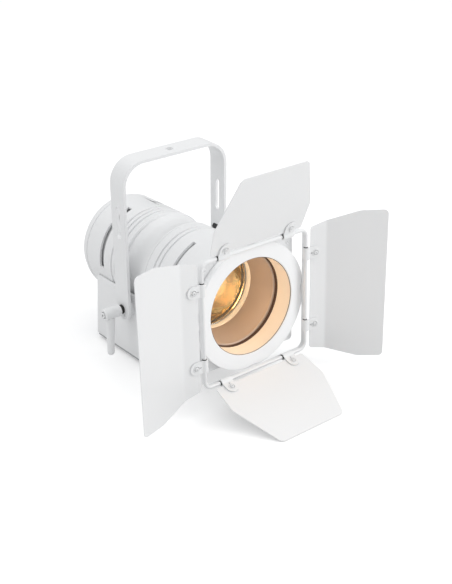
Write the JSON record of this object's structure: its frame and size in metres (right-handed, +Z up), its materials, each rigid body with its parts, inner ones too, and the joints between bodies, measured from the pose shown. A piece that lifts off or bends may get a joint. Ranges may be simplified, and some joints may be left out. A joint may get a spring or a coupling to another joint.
{
  "type": "theatre spotlight",
  "caption": "White theatre spotlight with a short round barrel on an electronics box, a bent flat-bar yoke and a square barn-door frame with shaped leaves.",
  "frame": {"origin": "centre of the bounding box at the underside of the feet", "axes": "+Z up, -Y the way the light leaves, +X to the right seen from the front; at rest it stands on its feet with the yoke up"},
  "size_m": [0.3298, 0.3985, 0.2894],
  "materials": {
    "white_paint": "satin powder coat",
    "black_metal": "satin black",
    "black_plastic": "fine grain",
    "rubber": "matt",
    "bare_aluminium": "machined",
    "steel": "turned",
    "tan_anodised": "satin anodised",
    "cream_ring": "satin",
    "gold_reflector": "polished",
    "lens_glass": "polished",
    "led_yellow": "matt",
    "circuit_board": "solder mask",
    "blue_plastic": "fine grain",
    "grey_plastic": "fine grain",
    "grey_sheet": "satin",
    "panel_black": "satin",
    "smoked_window": "gloss"
  },
  "bodies": {
    "lamp": {"base_housing": "white_paint", "base_plate": "grey_sheet", "foot_1": "rubber", "foot_2": "rubber", "foot_3": "rubber", "foot_4": "rubber", "barrel_front": "white_paint", "barrel_rear": "white_paint", "rear_cover": "white_paint", "control_panel": "panel_black", "display_window": "smoked_window", "power_inlet": "blue_plastic", "power_outlet": "grey_plastic", "data_in": "black_metal", "data_out": "black_metal", "safety_eye": "steel", "front_plate": "white_paint", "hood_ring": "white_paint", "lens": "lens_glass", "lens_retainer": "cream_ring", "lens_mount": "black_metal", "baffle_ring": "black_metal", "inner_tube": "tan_anodised", "guide_rod_left": "steel", "guide_rod_right": "steel", "fan_frame": "black_plastic", "driver_board": "circuit_board", "pivot_stud_left": "steel", "pivot_stud_right": "steel", "barn_door_frame": "white_paint"},
    "yoke": {"yoke": "white_paint", "collar_left": "black_metal", "collar_right": "black_metal"},
    "lever_left": {"clamp_lever_left": "white_paint"},
    "lever_right": {"clamp_lever_right": "white_paint"},
    "focus": {"focus_carriage": "black_metal", "reflector": "gold_reflector", "led_module": "led_yellow", "heat_sink": "bare_aluminium", "focus_knob": "black_plastic"},
    "lock_screw": {"lock_screw": "black_plastic"},
    "latch": {"accessory_latch": "black_metal"},
    "fan": {"fan_rotor": "black_plastic"},
    "leaf_top": {"leaf_top": "white_paint", "clip_top_1": "white_paint", "clip_top_2": "white_paint"},
    "leaf_bottom": {"leaf_bottom": "white_paint", "clip_bottom_1": "white_paint", "clip_bottom_2": "white_paint"},
    "leaf_left": {"leaf_left": "white_paint", "clip_left_1": "white_paint", "clip_left_2": "white_paint"},
    "leaf_right": {"leaf_right": "white_paint", "clip_right_1": "white_paint", "clip_right_2": "white_paint"},
    "button_1": {"button_1": "grey_plastic"},
    "button_2": {"button_2": "grey_plastic"},
    "button_3": {"button_3": "grey_plastic"},
    "button_4": {"button_4": "grey_plastic"}
  },
  "joints": [
    {"name": "yoke_tilt", "type": "hinge", "parent": "lamp", "child": "yoke", "pos_m": [0.0071, 0.0672, 0.0743], "axis": [1, 0, 0], "range_deg": [-100, 42]},
    {"name": "lever_left_turn", "type": "hinge", "parent": "lamp", "child": "lever_left", "pos_m": [0.0071, 0.0672, 0.0743], "axis": [1, 0, 0], "range_deg": [-80, 80]},
    {"name": "lever_right_turn", "type": "hinge", "parent": "lamp", "child": "lever_right", "pos_m": [0.0071, 0.0672, 0.0743], "axis": [1, 0, 0], "range_deg": [-80, 80]},
    {"name": "leaf_top_swing", "type": "hinge", "parent": "lamp", "child": "leaf_top", "pos_m": [0.0071, -0.0999, 0.1909], "axis": [1, 0, 0], "range_deg": [-30, 107]},
    {"name": "leaf_bottom_swing", "type": "hinge", "parent": "lamp", "child": "leaf_bottom", "pos_m": [0.0071, -0.0999, 0.0349], "axis": [1, 0, 0], "range_deg": [-57, 81]},
    {"name": "leaf_left_swing", "type": "hinge", "parent": "lamp", "child": "leaf_left", "pos_m": [-0.0689, -0.0999, 0.1129], "axis": [0, 0, 1], "range_deg": [-39, 85]},
    {"name": "leaf_right_swing", "type": "hinge", "parent": "lamp", "child": "leaf_right", "pos_m": [0.0831, -0.0999, 0.1129], "axis": [0, 0, 1], "range_deg": [-65, 60]},
    {"name": "latch_lift", "type": "hinge", "parent": "lamp", "child": "latch", "pos_m": [0.0071, -0.079, 0.1833], "axis": [1, 0, 0], "range_deg": [-60, 0]},
    {"name": "focus_slide", "type": "slide", "parent": "lamp", "child": "focus", "axis": [0, 1, 0], "range_m": [0, 0.03]},
    {"name": "lock_screw_turn", "type": "hinge", "parent": "lamp", "child": "lock_screw", "pos_m": [0.04289, 0.023, 0.16536], "axis": [0.5592, 0, 0.829], "range_deg": [0, 360]},
    {"name": "fan_spin", "type": "hinge", "parent": "lamp", "child": "fan", "pos_m": [0.0071, 0.119, 0.1123], "axis": [0, 1, 0], "continuous": true},
    {"name": "button_1_press", "type": "slide", "parent": "lamp", "child": "button_1", "axis": [0, -0.9957, -0.0926], "range_m": [0, 0.001], "stiffness_N_per_m": 300, "springref_m": -0.001},
    {"name": "button_2_press", "type": "slide", "parent": "lamp", "child": "button_2", "axis": [0, -0.9957, -0.0926], "range_m": [0, 0.001], "stiffness_N_per_m": 300, "springref_m": -0.001},
    {"name": "button_3_press", "type": "slide", "parent": "lamp", "child": "button_3", "axis": [0, -0.9957, -0.0926], "range_m": [0, 0.001], "stiffness_N_per_m": 300, "springref_m": -0.001},
    {"name": "button_4_press", "type": "slide", "parent": "lamp", "child": "button_4", "axis": [0, -0.9957, -0.0926], "range_m": [0, 0.001], "stiffness_N_per_m": 300, "springref_m": -0.001}
  ]
}
